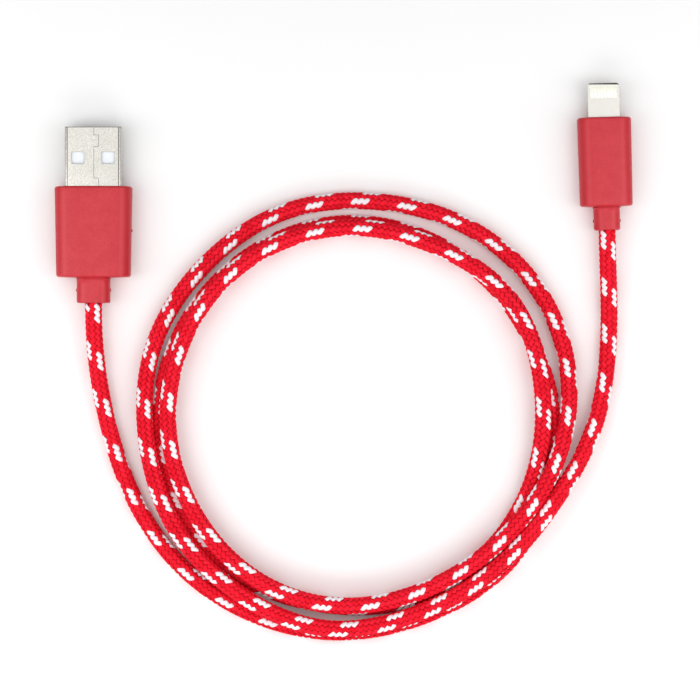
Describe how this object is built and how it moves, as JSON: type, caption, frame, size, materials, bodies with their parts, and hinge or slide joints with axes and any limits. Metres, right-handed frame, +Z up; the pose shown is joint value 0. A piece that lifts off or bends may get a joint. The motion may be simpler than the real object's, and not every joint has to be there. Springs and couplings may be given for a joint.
{
  "type": "charging cable",
  "caption": "Braided charging cable lying in loops, with a flat sheet-metal host plug at one end and a thin reversible device plug at the other",
  "frame": {"origin": "centre of the bottom of the two plugs' box, on the table they lie on", "axes": "+Z up from the table; +Y the way the plugs point; +X from the host plug to the device plug"},
  "size_m": [0.123, 0.1186, 0.0077],
  "materials": {
    "braid": "matte braided textile yarn, red with white flecks",
    "overmould": "soft-touch elastomer with a fine grain",
    "plug_metal": "nickel-plated sheet, satin",
    "insulator": "moulded white thermoplastic",
    "contacts": "gold-plated copper alloy",
    "solder": "tin solder",
    "wire_red": "extruded wire insulation",
    "wire_white": "extruded wire insulation",
    "wire_green": "extruded wire insulation",
    "wire_black": "extruded wire insulation",
    "jacket": "extruded inner jacket",
    "inner_mould": "translucent low-pressure moulding",
    "board": "green solder mask on glass laminate",
    "chips": "black moulded package",
    "capacitors": "brown ceramic"
  },
  "bodies": {
    "root": {"host_shell": "plug_metal", "host_insulator": "insulator", "host_contact_power": "contacts", "host_contact_data_minus": "contacts", "host_contact_data_plus": "contacts", "host_contact_ground": "contacts", "host_solder_joints": "solder", "host_wire_power": "wire_red", "host_wire_data_minus": "wire_white", "host_wire_data_plus": "wire_green", "host_wire_ground": "wire_black", "host_jacket_end": "jacket", "host_inner_mould": "inner_mould", "host_overmould": "overmould", "cord": "braid", "device_frame": "plug_metal", "device_insert": "insulator", "device_contacts_top": "contacts", "device_contacts_bottom": "contacts", "device_circuit_board": "board", "device_control_chip": "chips", "device_switch_chip": "chips", "device_capacitors": "capacitors", "device_solder_joints": "solder", "device_wire_power": "wire_red", "device_wire_data_minus": "wire_white", "device_wire_data_plus": "wire_green", "device_wire_ground": "wire_black", "device_jacket_end": "jacket", "device_inner_mould": "inner_mould", "device_overmould": "overmould"}
  },
  "joints": []
}
